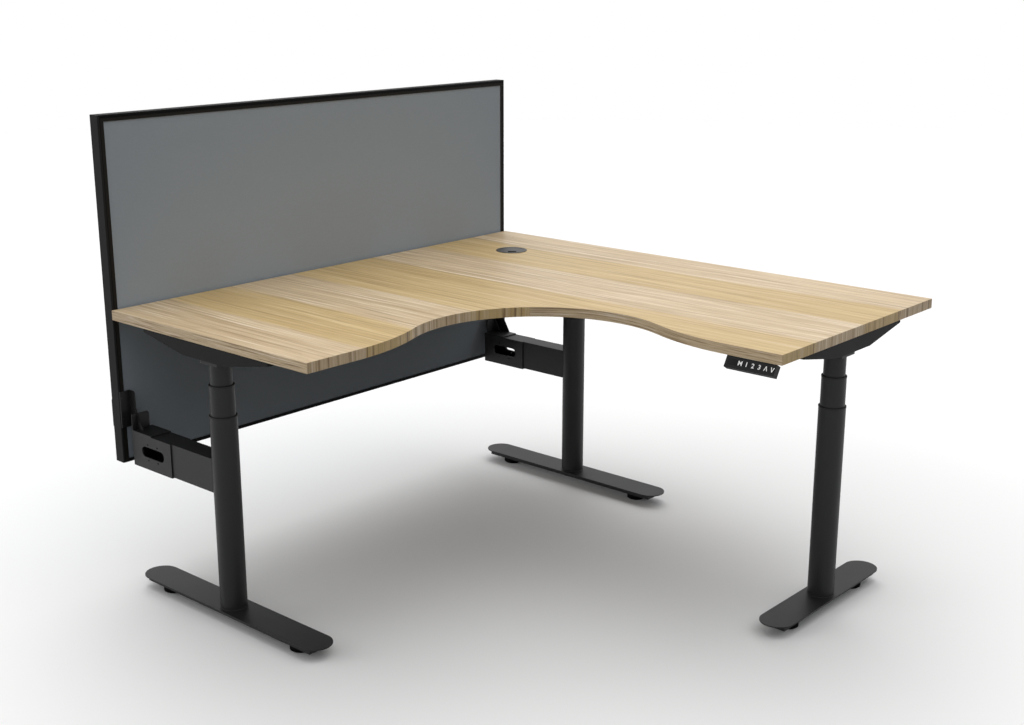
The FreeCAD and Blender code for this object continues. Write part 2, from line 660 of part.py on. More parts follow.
def end_plate(outer, low, high, sign):
    """The plate that closes the sleeve, with a narrower upstand that has one round corner."""
    bend = "right" if sign > 0 else "left"
    web_side, far_side = ("", "0 - ") if sign > 0 else ("0 - ", "")
    return [(web_side + outer, low), (far_side + outer, low), (far_side + outer, high),
            (far_side + "end_plate_reach", high),
            (far_side + "end_plate_reach", "end_plate_top - end_plate_corner", bend,
             "end_plate_corner"),
            (far_side + "(end_plate_reach - end_plate_corner)", "end_plate_top"),
            (web_side + outer, "end_plate_top")]


def make_bracket(name, y, sign, reach):
    """A folded sleeve on the arm's end. Its taller web and tab stand on one side, as sign says."""
    bracket = new_body(name)
    half, outer = "arm_width / 2", "(arm_width / 2 + bracket_sheet)"
    low, high = "arm_bottom - bracket_sheet", "arm_top + bracket_sheet"
    start = "bracket_start"
    add(bracket, "YZ", start, "bracket_end - bracket_start",
        [rectangle("0 - " + outer, outer, low, high),
         rectangle("0 - " + half, half, "arm_bottom", "arm_top")])
    add(bracket, "YZ", start, "bracket_sheet", [end_plate(outer, low, high, sign)])
    cut(bracket, "XY", "arm_top", "bracket_sheet + overrun",
        [rectangle("bracket_lid", "bracket_end + overrun", "0 - " + outer, outer)])
    web = [("screen_front", "tab_bottom"), (start, "tab_bottom"), (start, "arm_top"),
           ("web_foot", "arm_top"), ("web_reach", "web_shoulder"),
           ("web_reach", "web_top - web_corner", "left", "web_corner"),
           ("web_reach - web_corner", "web_top"), ("screen_front", "web_top")]
    web_low = half + " - web_setback" if sign > 0 else "web_setback - " + outer
    add(bracket, "XZ", web_low, "bracket_sheet", [web])
    near, far = (web_low, reach) if sign > 0 else ("0 - (%s)" % reach, "web_setback - " + half)
    add(bracket, "YZ", "screen_front", "bracket_sheet",
        [rectangle(near, far, "tab_bottom", "web_top")])
    cut(bracket, "XZ", "0 - %s - overrun" % outer, "2 * %s + 2 * overrun" % outer,
        [slot_outline("0")])
    cut(bracket, "XZ", "0 - %s - overrun" % outer, "2 * %s + 2 * overrun" % outer, fixing_holes())
    place(bracket, y=y)


def make_arms():
    make_arm("left_arm", "left_leg_y")
    make_arm("corner_arm", "corner_leg_y")
    make_bracket("left_bracket", "left_leg_y", -1, "(left_leg_inset - screen_inset - tab_end_gap)")
    make_bracket("corner_bracket", "corner_leg_y", 1, "(corner_leg_inset - tab_end_gap)")
    plates = new_body("clamp_plates", several=True)
    for y0 in ("tab_end_gap - screen_end", "0 - tab_end_gap - clamp_width"):
        add(plates, "YZ", "screen_rear - clamp_thick", "clamp_thick",
            [round_rectangle(y0, "(%s) + clamp_width" % y0, "clamp_bottom",
                             "clamp_bottom + clamp_height", "clamp_corner")])
    place(plates)


# Screen: two posts and a top rail, grooved and mitred, and a low sill, round a board with fabric


def frame_section(from_outer, flipped, across):
    """The section of the frame. Depth runs back from the front face, width in from the edge."""
    web = "(frame_width - lip_width)"
    deep, back_lip = "screen_thick", "(screen_thick - lip_thick)"
    corners = [("0", "frame_corner"), ("0", web + " - groove_width"),
               ("groove_depth", web + " - groove_width"), ("groove_depth", web), ("0", web),
               ("0", "frame_width"), ("lip_thick", "frame_width"), ("lip_thick", web),
               (back_lip, web), (back_lip, "frame_width"), (deep, "frame_width"), (deep, web),
               (deep + " - groove_depth", web), (deep + " - groove_depth", web + " - groove_width"),
               (deep, web + " - groove_width"), (deep, "frame_corner", "bend", "frame_corner"),
               (deep + " - frame_corner", "0"), ("frame_corner", "0", "bend", "frame_corner")]
    bend = "left" if flipped else "right"
    placed = []
    for corner in corners:
        spot = ("screen_front - (%s)" % corner[0], "%s %s (%s)" % (from_outer, across, corner[1]))
        placed.append(spot + ((bend, corner[3]) if len(corner) > 2 else ()))
    return placed


def make_frame():
    far = "(0 - screen_end)"
    for name, edge, across, flipped in (("screen_left_post", far, "+", True),
                                        ("screen_right_post", "0", "-", False)):
        post = new_body(name)
        add(post, "XY", "screen_bottom", "screen_height", [frame_section(edge, flipped, across)])
        inner = "%s %s (frame_width + overrun)" % (edge, across)
        corner = [(edge, "screen_top"), (inner, "screen_top"),
                  (inner, "screen_top - (frame_width + overrun)")]
        cut(post, "YZ", "screen_rear - overrun", "screen_thick + 2 * overrun", [corner])
        place(post)
    rail = new_body("screen_top_rail")
    add(rail, "XZ", far, "screen_end", [frame_section("screen_top", False, "-")])
    inner = "screen_top - (frame_width + overrun)"
    for end, step in (("0", "-"), (far, "+")):
        corner = [(end, "screen_top"), (end, inner),
                  ("%s %s (frame_width + overrun)" % (end, step), inner)]
        cut(rail, "YZ", "screen_rear - overrun", "screen_thick + 2 * overrun", [corner])
    place(rail)
    sill = new_body("screen_bottom_rail")
    front_lip, rear_lip = "screen_front - lip_thick", "screen_rear + lip_thick"
    floor, top = "screen_bottom + sill_floor", "screen_bottom + sill_height"
    channel = [("screen_rear", "screen_bottom"), ("screen_front", "screen_bottom"),
               ("screen_front", top), (front_lip, top), (front_lip, floor), (rear_lip, floor),
               (rear_lip, top), ("screen_rear", top)]
    add(sill, "XZ", far + " + frame_width", "screen_end - 2 * frame_width", [channel])
    place(sill)


def make_panel():
    """A board in the frame's channel, with a layer of fabric on each face."""
    web = "(frame_width - lip_width + board_play)"
    face = rectangle("%s - screen_end" % web, "0 - " + web,
                     "screen_bottom + sill_floor + board_play", "screen_top - " + web)
    board = new_body("screen_board")
    skin = "(lip_thick + fabric_thick)"
    add(board, "YZ", "screen_rear + " + skin, "screen_thick - 2 * " + skin, [face])
    place(board)
    fabric = new_body("screen_fabric", several=True)
    for low in ("screen_rear + lip_thick", "screen_front - " + skin):
        add(fabric, "YZ", low, "fabric_thick", [face])
    place(fabric)


make_worktop()
make_cable_port()
for leg_name, (leg_x, leg_y, leg_turn, foot_size, support_size) in LEGS.items():
    make_foot(leg_name, leg_x, leg_y, leg_turn, foot_size)
    make_pads(leg_name, leg_x, leg_y, leg_turn, foot_size)
    make_support(leg_name, leg_x, leg_y, leg_turn, support_size)
    make_drive(leg_name, leg_x, leg_y, leg_turn)
make_columns()
make_screws()
make_rails()
make_control_box()
make_handset()
make_arms()
make_frame()
make_panel()
doc.recompute()

# Nothing is written unless every feature is sound
for thing in doc.Objects:
    if "Invalid" in thing.State or "Error" in thing.State:
        raise RuntimeError("%s failed: %s" % (thing.Label, thing.State))
    if thing.TypeId == "PartDesign::Pocket":
        taken = thing.BaseFeature.Shape.Volume - thing.Shape.Volume
        if taken <= 0:
            raise RuntimeError("%s cuts nothing" % thing.Label)
for body in NODES:
    if body.Shape.isNull() or not body.Shape.isValid() or not body.Shape.Solids:
        raise RuntimeError("%s has no sound solid" % body.Label)

os.makedirs("parts", exist_ok=True)
for body in NODES:
    body.Shape.exportStep(os.path.join("parts", body.Label + ".step"))
print("nodes", len(NODES))
for end in ("middle_top", "drive_bottom", "middle_bottom", "hollow_top"):
    print(end, round(value(end), 2))
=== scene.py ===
# %% [markdown]
# # Dressing a corner sit-stand desk
#
# The desk arrives as a finished frame of solid parts: an L-shaped board, three telescopic columns on flat
# feet, and a fabric screen on two box arms. This lesson leaves those parts where they are, gives each one
# a finish, and adds what a solid model leaves out: cloth, screws, weld beads, printed marks and the
# studio.

# %% Load the frame
import json
import math

import bmesh
import bpy
from mathutils import Matrix, Vector


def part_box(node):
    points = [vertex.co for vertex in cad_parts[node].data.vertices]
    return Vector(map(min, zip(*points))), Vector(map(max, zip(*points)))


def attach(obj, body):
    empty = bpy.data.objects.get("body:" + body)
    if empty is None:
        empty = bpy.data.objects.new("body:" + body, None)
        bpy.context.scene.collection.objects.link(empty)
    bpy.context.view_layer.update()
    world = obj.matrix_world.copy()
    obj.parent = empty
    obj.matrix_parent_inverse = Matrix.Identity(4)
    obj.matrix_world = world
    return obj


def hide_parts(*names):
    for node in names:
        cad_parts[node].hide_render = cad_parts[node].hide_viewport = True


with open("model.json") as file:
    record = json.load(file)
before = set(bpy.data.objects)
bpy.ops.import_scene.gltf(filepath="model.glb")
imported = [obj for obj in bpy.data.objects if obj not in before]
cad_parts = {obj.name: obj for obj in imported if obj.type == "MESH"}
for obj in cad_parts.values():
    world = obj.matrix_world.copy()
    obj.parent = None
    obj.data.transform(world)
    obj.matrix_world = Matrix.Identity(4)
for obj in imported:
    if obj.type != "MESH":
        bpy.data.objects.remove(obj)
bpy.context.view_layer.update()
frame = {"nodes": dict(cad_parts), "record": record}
nodes = frame["nodes"]
print("parts in the frame:", len(nodes))

# %% [markdown]
# A maker measures a desk from its rear corner in millimetres, while the frame is in metres from the
# middle of the floor. One small function turns the first into the second, so every number below can be
# read off a tape.

# %% From the tape to the frame
MM = 0.001
REAR_CORNER = Vector((-0.729, 0.75, 0.0))
WING = 1500
TOP = 750
UNDERSIDE = 725
COLUMNS = {"left": (372, -1450), "corner": (372, -95), "right": (1445, -402)}
SCREEN_END = 1496
SCREEN_FOOT, SCREEN_TOP = 339, 1239


def desk(x, y, z):
    """A point measured in millimetres from the rear corner of the desk, at floor level."""
    return REAR_CORNER + Vector((x, y, z)) * MM


print("front of the right wing:", [round(v, 4) for v in desk(WING, -750, TOP)])

# %% [markdown]
# ## Finishes
#
# Every finish is a small tree of nodes. The pattern is read in Object coordinates, which here are metres
# in the frame, so a scale of 500 means a pattern about two millimetres across whatever piece it lands on.
# The helper below adds a node, sets its inputs and joins the ones that come from other nodes.

# %% A helper for node trees


class Finish:
    """A material under construction."""

    def __init__(self, name):
        self.material = bpy.data.materials.new(name)
        self.material.use_nodes = True
        self.tree = self.material.node_tree
        self.shader = self.tree.nodes["Principled BSDF"]
        self.place = self.tree.nodes.new("ShaderNodeTexCoord")

    def node(self, kind, settings=None, **inputs):
        made = self.tree.nodes.new("ShaderNode" + kind)
        for name, setting in (settings or {}).items():
            setattr(made, name, setting)
        for name, source in inputs.items():
            numbered = name[0] == "i" and name[1:].isdigit()
            key = int(name[1:]) if numbered else name.replace("_", " ")
            self.feed(made.inputs[key], source)
        return made

    def feed(self, socket, source):
        if isinstance(source, bpy.types.NodeSocket):
            self.tree.links.new(source, socket)
        else:
            socket.default_value = source

    def math(self, operation, first, second=0.0):
        return self.node("Math", {"operation": operation}, i0=first, i1=second).outputs[0]

    def blend(self, share, first, second, kind="MIX"):
        """Two colours mixed; first shows where share is 0."""
        mix = self.node("Mix", {"data_type": "RGBA", "blend_type": kind})
        for socket, source in ((mix.inputs[0], share), (mix.inputs[6], first), (mix.inputs[7], second)):
            self.feed(socket, source)
        return mix.outputs[2]

    def between(self, share, low, high):
        """A number that goes from low to high as share goes from 0 to 1."""
        return self.node("MapRange", None, Value=share, To_Min=low, To_Max=high).outputs[0]

    def stretched(self, scale, vector=None):
        """Coordinates with each axis given its own scale."""
        source = vector or self.place.outputs["Object"]
        return self.node("Mapping", None, Vector=source, Scale=scale).outputs[0]

    def noise(self, vector=None, scale=1.0, detail=2.0, roughness=0.5):
        source = vector or self.place.outputs["Object"]
        return self.node("TexNoise", None, Vector=source, Scale=scale, Detail=detail,
                         Roughness=roughness).outputs["Fac"]

    def bump(self, height, distance, strength=1.0):
        made = self.node("Bump", None, Height=height, Distance=distance, Strength=strength)
        self.feed(self.shader.inputs["Normal"], made.outputs[0])

    def sockets(self, **values):
        for name, source in values.items():
            self.feed(self.shader.inputs[name.replace("_", " ")], source)


def shade(red, green, blue):
    """A colour as a paint chart gives it, 0 to 255, turned into the renderer's linear numbers."""
    def linear(level):
        level /= 255
        return level / 12.92 if level <= 0.04045 else ((level + 0.055) / 1.055) ** 2.4
    return (linear(red), linear(green), linear(blue), 1.0)


# %% [markdown]
# ### Oak laminate
#
# The board is faced with a printed oak of wide planks, alternately straw yellow and pale beige, with the
# grain along the right wing. It could be painted as one picture, but a procedural grain stays sharp at
# any distance. A noise squeezed across the grain and stretched along it gives streaks; four of them at
# different widths give the broad figure, the lines, the fine dark and white threads and the pores. On the
# edge strip the grain follows the way that the face looks: faces that look along the wing show short
# upright streaks, and the front ones long streaks.

# %% Oak laminate for the board and its edge
PLANK_EDGES = (175, 375, 600, 900, 1125, 1325)
PALE_LIGHT, PALE_DARK = shade(226, 203, 167), shade(189, 163, 126)
STRAW_LIGHT, STRAW_DARK = shade(219, 192, 139), shade(190, 160, 107)
DARK_LINE, WHITE_LINE = shade(142, 115, 82), shade(246, 232, 210)
PORE_TONE = shade(150, 124, 92)
# painted shade: the upright faces are multiplied by a grey-blue tint, so the edges come out darker and greyer
# than the top
EDGE_SHADE_TINT, EDGE_SHADE_SHARE = shade(232, 234, 240), 0.42
EDGE_SQUEEZE = 2.2      # the streaks are this much finer on the front edges
EDGE_SHORTEN = 3.0      # and this much shorter
SWAY, EDGE_SWAY = 0.03, 0.012      # metres that a streak wanders, on the top and on the edges
RAGGED = 0.05           # metres that the seam between two planks wanders
PLANK_SOFTNESS = 0.003  # share of the board, on either side of a seam, that the seam is soft
STRAW_SHIFT = 3.7       # takes the straw planks to another part of the noise


def grain_coordinates(oak):
    """Along the grain and across it, chosen by the way that the face looks."""
    spot = oak.node("SeparateXYZ", None, Vector=oak.place.outputs["Object"]).outputs
    facing = oak.node("SeparateXYZ", None, Vector=oak.place.outputs["Normal"]).outputs
    sideways, forward, upward = (oak.math("ABSOLUTE", facing[axis]) for axis in range(3))
    upright = oak.math("LESS_THAN", upward, 0.5)
    looks_front = oak.math("MULTIPLY", oak.math("GREATER_THAN", forward, sideways), upright)
    looks_side = oak.math("SUBTRACT", upright, looks_front)
    along = oak.node("Mix", None, Factor=looks_side)
    oak.feed(along.inputs[2], oak.math("MULTIPLY", spot[0], oak.between(upright, 1.0, EDGE_SHORTEN)))
    oak.feed(along.inputs[3], spot[2])
    across = oak.node("Mix", None, Factor=looks_front)
    oak.feed(across.inputs[2], spot[1])
    oak.feed(across.inputs[3], oak.math("MULTIPLY", spot[2], EDGE_SQUEEZE))
    return along.outputs[0], across.outputs[0], upright


def plank_tones(oak, across):
    """0 on a pale plank and 1 on a straw one, with an edge a few millimetres soft."""
    rear, front = REAR_CORNER.y, REAR_CORNER.y - WING * MM
    share = oak.node("MapRange", None, Value=across, From_Min=rear, From_Max=front).outputs[0]
    ramp = oak.node("ValToRGB", None, Fac=share)
    stops = ramp.color_ramp.elements
    stops[0].position, stops[1].position = 0.0, 1.0
    stops[0].color = stops[1].color = (0, 0, 0, 1)
    for count, edge in enumerate(PLANK_EDGES):
        before = (count % 2,) * 3 + (1,)
        after = (1 - count % 2,) * 3 + (1,)
        stops.new(edge / WING - PLANK_SOFTNESS).color = before
        stops.new(edge / WING + PLANK_SOFTNESS).color = after
    return ramp.outputs[0]


def make_oak():
    oak = Finish("oak_laminate")
    along, across, upright = grain_coordinates(oak)
    flat = oak.node("CombineXYZ", None, X=along, Y=across, Z=upright).outputs[0]
    sway = oak.noise(oak.stretched((1.6, 7.0, 1.0), flat), detail=2.0)
    reach = oak.between(upright, SWAY, EDGE_SWAY)
    bend = oak.math("MULTIPLY", oak.math("SUBTRACT", sway, 0.5), reach)
    swayed = oak.math("ADD", across, bend)
    torn = oak.noise(oak.stretched((2.2, 60.0, 1.0), flat), detail=2.0)
    ragged = oak.math("MULTIPLY", oak.math("SUBTRACT", torn, 0.5), RAGGED)
    tone = plank_tones(oak, oak.math("ADD", across, ragged))
    apart = oak.math("MULTIPLY", oak.math("GREATER_THAN", tone, 0.5), STRAW_SHIFT)
    bent = oak.node("CombineXYZ", None, X=along, Y=swayed, Z=apart).outputs[0]
    figure = oak.noise(oak.stretched((1.1, 30.0, 1.0), bent), detail=3.0, roughness=0.6)
    lines = oak.noise(oak.stretched((2.6, 96.0, 1.0), bent), detail=4.0, roughness=0.7)
    pores = oak.noise(oak.stretched((11.0, 340.0, 1.0), flat), detail=3.0, roughness=0.6)
    wide = oak.node("MapRange", None, Value=figure, From_Min=0.34, From_Max=0.66).outputs[0]
    thin = oak.node("MapRange", None, Value=lines, From_Min=0.32, From_Max=0.68).outputs[0]
    streak = oak.math("ADD", oak.math("MULTIPLY", wide, 0.42), oak.math("MULTIPLY", thin, 0.58))
    pale = oak.blend(streak, PALE_DARK, PALE_LIGHT)
    straw = oak.blend(streak, STRAW_DARK, STRAW_LIGHT)
    colour = oak.blend(tone, pale, straw)
    fine = oak.noise(oak.stretched((1.9, 125.0, 1.0), bent), detail=3.0, roughness=0.65)
    dark = oak.node("MapRange", None, Value=fine, From_Min=0.54, From_Max=0.64).outputs[0]
    white = oak.node("MapRange", None, Value=fine, From_Min=0.45, From_Max=0.34).outputs[0]
    dark = oak.math("MULTIPLY", dark, oak.between(upright, 0.45, 1.0))
    colour = oak.blend(dark, colour, DARK_LINE)
    colour = oak.blend(oak.math("MULTIPLY", white, oak.between(tone, 0.75, 0.25)), colour, WHITE_LINE)
    dash = oak.node("MapRange", None, Value=pores, From_Min=0.56, From_Max=0.72).outputs[0]
    colour = oak.blend(oak.math("MULTIPLY", dash, 0.45), colour, PORE_TONE)
    # painted shade on the upright faces, which makes them darker and greyer than the top
    painted_edge_shade = oak.math("MULTIPLY", upright, EDGE_SHADE_SHARE)
    colour = oak.blend(1.0, colour, oak.blend(painted_edge_shade, (1, 1, 1, 1), EDGE_SHADE_TINT), "MULTIPLY")
    oak.sockets(Base_Color=colour, Roughness=oak.between(dash, 0.46, 0.6), Specular_IOR_Level=0.3)
    oak.bump(oak.math("SUBTRACT", thin, dash), 0.00006, 0.5)
    return oak.material


oak_laminate = make_oak()
for name in ("worktop", "edge_band"):
    nodes[name].material_slots[0].material = oak_laminate
print("oak planks:", len(PLANK_EDGES) + 1)

# %% [markdown]
# ### Coated metal and moulded plastic
#
# The columns, feet and arms are steel with a satin black powder coat, which has a faint orange peel. The
# collars, pads and the cable port are moulded plastic with a spark-eroded grain. Both are a dark colour,
# a roughness that wanders a little and a fine bump, so one function with different numbers makes them
# all, and the bright zinc of the small screws too.

# %% Coats and plastics
MOTTLE = 0.18           # how far a coat's colour strays either way
ROUGHNESS_WANDER = 0.05


def make_coat(name, colour, roughness, grain, depth, gloss=0.3, metallic=0.0):
    """A surface with a fine grain, which is given in lumps to the metre and metres of depth."""
    coat = Finish(name)
    lumps = coat.noise(scale=grain, detail=2.0)
    cloudy = coat.noise(scale=9.0, detail=3.0, roughness=0.6)
    darker = tuple(channel * (1 - MOTTLE) for channel in colour[:3]) + (1.0,)
    lighter = tuple(channel * (1 + MOTTLE) for channel in colour[:3]) + (1.0,)
    coat.sockets(Base_Color=coat.blend(cloudy, darker, lighter), Specular_IOR_Level=gloss,
                 Roughness=coat.between(cloudy, roughness - ROUGHNESS_WANDER,
                                        roughness + ROUGHNESS_WANDER),
                 Metallic=metallic)
    coat.bump(lumps, depth, 0.6)
    return coat.material


powder_black = make_coat("powder_black", (0.0105, 0.0105, 0.011, 1), 0.46, 1500, 0.00006)
housing_black = make_coat("housing_black", (0.0095, 0.0095, 0.010, 1), 0.5, 2300, 0.00005)
moulded_black = make_coat("moulded_black", (0.0085, 0.0085, 0.009, 1), 0.55, 2800, 0.00005)
handset_black = make_coat("handset_black", (0.0135, 0.0137, 0.014, 1), 0.5, 3200, 0.00003, gloss=0.16)
# painted shade: the supports under the board get a darker copy of the black coat
support_black_painted_shade = make_coat("support_black_painted_shade", (0.0088, 0.0088, 0.009, 1), 0.58, 1500, 0.00006, gloss=0.12)
pad_black = make_coat("pad_black", (0.0022, 0.0022, 0.0022, 1), 0.75, 900, 0.00008, gloss=0.06)
# partly painted sheen: the cable port is much paler than the other moulded plastics, partly its own grey and
# partly the sheen on its cap painted into the colour
port_grey_painted_sheen = make_coat("port_grey_painted_sheen", (0.043, 0.043, 0.0415, 1), 0.42, 2400, 0.00004)
screw_black = make_coat("screw_black", (0.02, 0.02, 0.021, 1), 0.36, 1800, 0.00003, gloss=0.5)
zinc_steel = make_coat("zinc_steel", (0.42, 0.43, 0.44, 1), 0.36, 1200, 0.00003, metallic=1.0)

# %% [markdown]
# ### Screen frame, screws inside the columns and the core of the screen
#
# The frame is an extruded aluminium section, anodised black. Drawing it through the die leaves hair-fine
# lines along its length, so its noise is squeezed the other way on the posts and on the rails. Outside the
# lip the posts are painted lighter and the rails darker: painted light and painted shade on one finish. The
# lifting screws are bright steel with their thread shown as a wave up the shaft, and the core is a grey
# fibre board.

# %% Drawn aluminium, threaded steel and fibre board
LIP_COLOUR = (0.018, 0.0165, 0.0148, 1)
POST_LIP, RAIL_LIP = 7, 9


def make_drawn(name, scale, axis, lip_at, outside_painted_light_and_shade):
    """Black anodised aluminium with die lines. The scale is small along the length of the section.

    The lip begins at lip_at, measured from the middle of the screen along the given axis."""
    drawn = Finish(name)
    lines = drawn.noise(drawn.stretched(scale), detail=3.0, roughness=0.6)
    spot = drawn.node("SeparateXYZ", None, Vector=drawn.place.outputs["Object"]).outputs[axis]
    centre = desk(0, -SCREEN_END / 2, (SCREEN_FOOT + SCREEN_TOP) / 2)[axis]
    reach = drawn.math("ABSOLUTE", drawn.math("SUBTRACT", spot, centre))
    on_lip = drawn.math("LESS_THAN", reach, lip_at * MM)
    # painted light and shade: the tone outside the lip is lighter on the posts and darker on the rails
    tone = drawn.blend(on_lip, (outside_painted_light_and_shade, outside_painted_light_and_shade, outside_painted_light_and_shade, 1), LIP_COLOUR)
    dull = drawn.blend(lines, (0.75, 0.75, 0.75, 1), (1.25, 1.25, 1.25, 1))
    drawn.sockets(Base_Color=drawn.blend(1.0, tone, dull, "MULTIPLY"), Specular_IOR_Level=0.06,
                  Roughness=drawn.between(lines, 0.42, 0.56))
    drawn.bump(lines, 0.00003, 0.5)
    return drawn.material


def make_threaded():
    steel = Finish("threaded_steel")
    thread = steel.node("TexWave", {"bands_direction": "Z"}, Vector=steel.place.outputs["Object"],
                        Scale=80.0).outputs["Fac"]
    oily = steel.noise(steel.stretched((1.0, 1.0, 0.3)), scale=60.0)
    steel.sockets(Base_Color=steel.blend(oily, (0.32, 0.31, 0.29, 1), (0.52, 0.52, 0.51, 1)), Metallic=1.0,
                  Roughness=steel.between(oily, 0.25, 0.42))
    steel.bump(thread, 0.0006, 0.7)
    return steel.material


def make_fibre():
    board = Finish("fibre_board")
    fibres = board.noise(scale=420.0, detail=4.0, roughness=0.7)
    board.sockets(Base_Color=board.blend(fibres, (0.26, 0.25, 0.24, 1), (0.42, 0.41, 0.39, 1)), Roughness=0.9)
    board.bump(fibres, 0.0003)
    return board.material


# painted light on the posts and painted shade on the rails: one anodised finish, lighter outside the lip on
# one and darker on the other
post_aluminium_painted_light = make_drawn("post_aluminium_painted_light", (900.0, 900.0, 3.0), 1, SCREEN_END / 2 - POST_LIP, 0.019)
rail_aluminium_painted_shade = make_drawn("rail_aluminium_painted_shade", (900.0, 3.0, 900.0), 2,
                            (SCREEN_TOP - SCREEN_FOOT) / 2 - RAIL_LIP, 0.005)
threaded_steel = make_threaded()
fibre_board = make_fibre()

# %% Hand the finishes to the frame's own parts
FINISH_OF_SLOT = {
    "black_steel": powder_black, "drive_housing": housing_black, "plain_steel": threaded_steel,
    "black_plastic": moulded_black, "key_plastic": handset_black, "core_board": fibre_board,
}
for name, part in nodes.items():
    slot_name = part.material_slots[0].material.name.split(".")[0]
    if slot_name in FINISH_OF_SLOT:
        part.material_slots[0].material = FINISH_OF_SLOT[slot_name]
for name in ("screen_left_post", "screen_right_post"):
    nodes[name].material_slots[0].material = post_aluminium_painted_light
for name in ("screen_top_rail", "screen_bottom_rail"):
    nodes[name].material_slots[0].material = rail_aluminium_painted_shade
nodes["handset_case"].material_slots[0].material = handset_black
for name in ("port_liner", "port_cap"):
    nodes[name].material_slots[0].material = port_grey_painted_sheen
for name, part in nodes.items():
    if name.endswith("_support"):
        part.material_slots[0].material = support_black_painted_shade
    if name.endswith("_pad"):
        part.material_slots[0].material = pad_black
print("finishes in use:", sorted({part.material_slots[0].material.name for part in nodes.values()}))

# %% [markdown]
# ## Adding pieces
#
# Each new piece is a bmesh that is shaped, closed, given smooth faces up to a chosen angle, and then tied
# to the body that it moves with: `desk` for all that rises with the board, `stand` for all that stays on
# the floor.

# %% From a bmesh to a piece that rides


def finish_piece(name, shape, material, body, smooth=40):
    """Turn a finished bmesh into a named piece on a body."""
    bmesh.ops.remove_doubles(shape, verts=shape.verts, dist=1e-6)
    bmesh.ops.recalc_face_normals(shape, faces=shape.faces)
    for face in shape.faces:
        face.smooth = True
    for edge in shape.edges:
        edge.smooth = len(edge.link_faces) < 2 or edge.calc_face_angle(0.0) < math.radians(smooth)
    mesh = bpy.data.meshes.new(name)
    shape.to_mesh(mesh)
    shape.free()
    piece = bpy.data.objects.new(name, mesh)
    bpy.context.scene.collection.objects.link(piece)
    piece.data.materials.append(material)
    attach(piece, body)
    print("made", name, "faces", len(mesh.polygons))
    return piece


def pose_at(point, direction=(0, 0, 1)):
    """A matrix that takes the Z axis to a direction and the origin to a point."""
    return Matrix.Translation(point) @ Vector(direction).to_track_quat("Z", "Y").to_matrix().to_4x4()


# %% [markdown]
# ### The fabric of the screen
#
# Each side of the screen is one flat length of cloth pulled over the core and tucked behind the lips of
# the frame. It could stay a plane, but real cloth on a padded board is very slightly fuller in the middle
# than at the lip, and that soft shoulder is what catches the light along the frame. A grid is raised by a
# fraction of a millimetre away from its border and given its thickness with Solidify. The weave is two
# crossed waves with a mottled yarn.

# %% Woven cloth
CLOTH_TUCK = 7.3
CLOTH_FOOT, CLOTH_TOP = SCREEN_FOOT + 3.3, SCREEN_TOP - CLOTH_TUCK
CLOTH_WIDE, CLOTH_HIGH = SCREEN_END - 2 * CLOTH_TUCK, CLOTH_TOP - CLOTH_FOOT
LIP_EDGE = 9.5
SHOULDER, FULLNESS, CLOTH_THICK = 30, 0.6, 0.9
WEAVE_PITCH = 1.6
YARN_DARK, YARN_LIGHT, SLUB = shade(146, 156, 165), shade(178, 188, 198), shade(155, 164, 174)


def make_cloth_finish():
    cloth = Finish("woven_grey")
    thread = 2 * math.pi / (WEAVE_PITCH * MM)
    spot = cloth.node("SeparateXYZ", None, Vector=cloth.place.outputs["Object"]).outputs
    warp = cloth.math("SINE", cloth.math("MULTIPLY", spot[1], thread))
    weft = cloth.math("SINE", cloth.math("MULTIPLY", spot[2], thread))
    weave = cloth.math("MULTIPLY", warp, weft)
    yarn = cloth.noise(scale=620.0, detail=3.0, roughness=0.7)
    slubs = cloth.noise(cloth.stretched((1.0, 26.0, 210.0)), detail=2.0)
    colour = cloth.blend(yarn, YARN_DARK, YARN_LIGHT)
    colour = cloth.blend(cloth.between(slubs, 0.0, 0.35), colour, SLUB)
    cloth.sockets(Base_Color=colour, Roughness=0.92, Specular_IOR_Level=0.2, Sheen_Weight=0.12,
                  Sheen_Roughness=0.5)
    cloth.bump(cloth.math("ADD", weave, cloth.math("MULTIPLY", yarn, 0.8)), 0.00018, 0.6)
    return cloth.material


woven_grey = make_cloth_finish()


def make_cloth(name, face_x, outward):
    """A length of cloth in the plane of the screen. outward is the way its good side looks along X."""
    shape = bmesh.new()
    bmesh.ops.create_grid(shape, x_segments=150, y_segments=90, size=0.5)
    bmesh.ops.scale(shape, vec=(CLOTH_WIDE * MM, CLOTH_HIGH * MM, 1), verts=shape.verts)
    for vert in shape.verts:
        inward = min(CLOTH_WIDE / 2 - abs(vert.co.x) / MM, CLOTH_HIGH / 2 - abs(vert.co.y) / MM)
        rise = min(max((inward - LIP_EDGE) / SHOULDER, 0.0), 1.0)
        vert.co.z = FULLNESS * MM * rise * rise * (3 - 2 * rise)
    turn = Matrix(((0, 0, outward, 0), (outward, 0, 0, 0), (0, 1, 0, 0), (0, 0, 0, 1)))
    centre = desk(face_x, -SCREEN_END / 2, (CLOTH_FOOT + CLOTH_TOP) / 2)
    bmesh.ops.transform(shape, matrix=Matrix.Translation(centre) @ turn, verts=shape.verts)
    piece = finish_piece(name, shape, woven_grey, "stand")
    if piece.data.polygons[0].normal.x * outward < 0:
        piece.data.flip_normals()
    thicken = piece.modifiers.new("cloth", "SOLIDIFY")
    thicken.thickness, thicken.offset = CLOTH_THICK * MM, -1
    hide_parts("screen_fabric")


make_cloth("front_cloth", -6, 1)
make_cloth("rear_cloth", -37, -1)

# %% [markdown]
# ### Screws, nuts and weld beads
#
# Small fasteners make a steel frame believable. A button head could be a turned profile, but pushing one
# round face up in steps also leaves a face on top whose corners can be moved on to a hexagon for the
# socket. The weld bead is a ring that is pinched slightly all round, the way a welder's puddles overlap.

# %% Button-head screws


